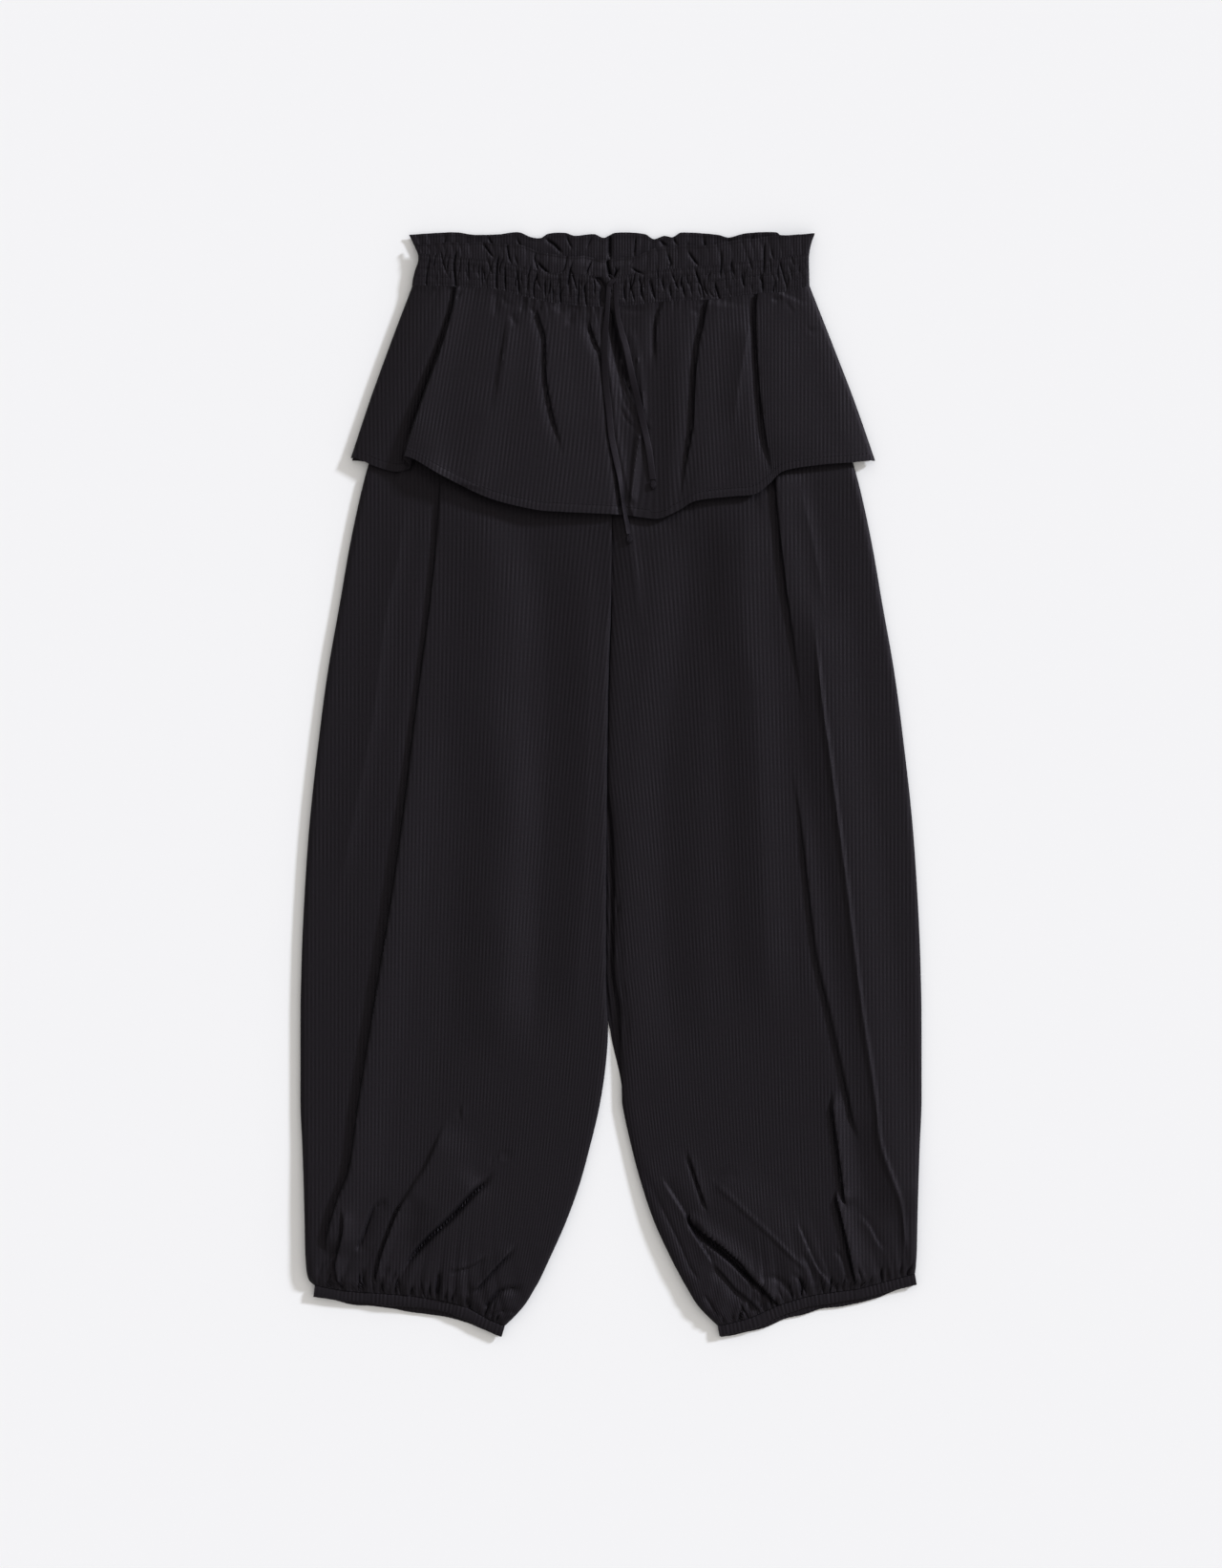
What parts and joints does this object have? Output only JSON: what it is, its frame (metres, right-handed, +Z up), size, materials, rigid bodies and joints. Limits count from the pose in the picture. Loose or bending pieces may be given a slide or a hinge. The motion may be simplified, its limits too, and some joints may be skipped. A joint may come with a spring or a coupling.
{
  "type": "peplum waist trousers",
  "caption": "Balloon leg trousers laid flat, with a frilled elastic waist, a flared peplum over the hips, a tie drawstring and gathered elastic ankles.",
  "frame": {"origin": "on the surface that the trousers lie on, under the middle of their bounding box", "axes": "+X to the wearer's left leg, +Y from the ankles to the waist, +Z up from the surface through the front of the trousers"},
  "size_m": [0.5526, 0.9828, 0.0169],
  "materials": {
    "ribbed_cloth": "black, fine lengthwise rib, slight sheen",
    "drawstring_tape": "black, plain flat tape of the same cloth"
  },
  "bodies": {
    "root": {"back_peplum": "ribbed_cloth", "back_leg_right": "ribbed_cloth", "back_leg_left": "ribbed_cloth", "front_leg_right": "ribbed_cloth", "front_leg_left": "ribbed_cloth", "back_cuff_right": "ribbed_cloth", "back_cuff_left": "ribbed_cloth", "front_cuff_right": "ribbed_cloth", "front_cuff_left": "ribbed_cloth", "back_waistband": "ribbed_cloth", "back_heading": "ribbed_cloth", "front_waistband": "ribbed_cloth", "front_heading": "ribbed_cloth", "front_peplum": "ribbed_cloth", "drawstring_right": "drawstring_tape", "drawstring_left": "drawstring_tape", "drawstring_crossing": "drawstring_tape", "end_knot_right": "drawstring_tape", "end_knot_left": "drawstring_tape"}
  },
  "joints": []
}
